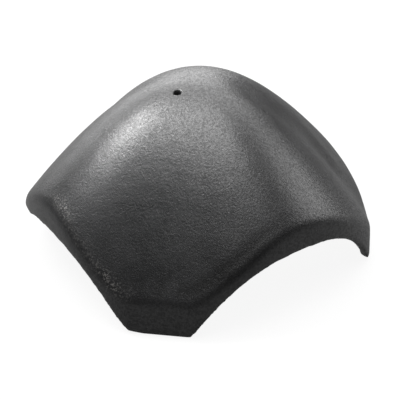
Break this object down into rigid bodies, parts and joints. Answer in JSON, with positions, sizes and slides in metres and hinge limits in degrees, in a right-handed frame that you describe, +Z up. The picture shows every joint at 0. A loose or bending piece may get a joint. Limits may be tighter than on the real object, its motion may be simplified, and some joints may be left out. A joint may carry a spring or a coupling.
{
  "type": "three-way ridge tile",
  "caption": "Domed roof cap tile that covers the meeting of a ridge and two hips, with arched mouths, hanging lappets, a smooth rim band and a nail hole.",
  "frame": {"origin": "middle of the plan, on the floor that the three lappets stand on", "axes": "+Z up through the dome, -Y towards the front lappet between the two hip mouths, +Y out through the ridge mouth"},
  "size_m": [0.4064, 0.368, 0.2169],
  "materials": {
    "coated_concrete": "satin-coated graphite grey concrete, sandy on the dome and smooth on the rim band"
  },
  "bodies": {
    "root": {"ridge_tile": "coated_concrete"}
  },
  "joints": []
}
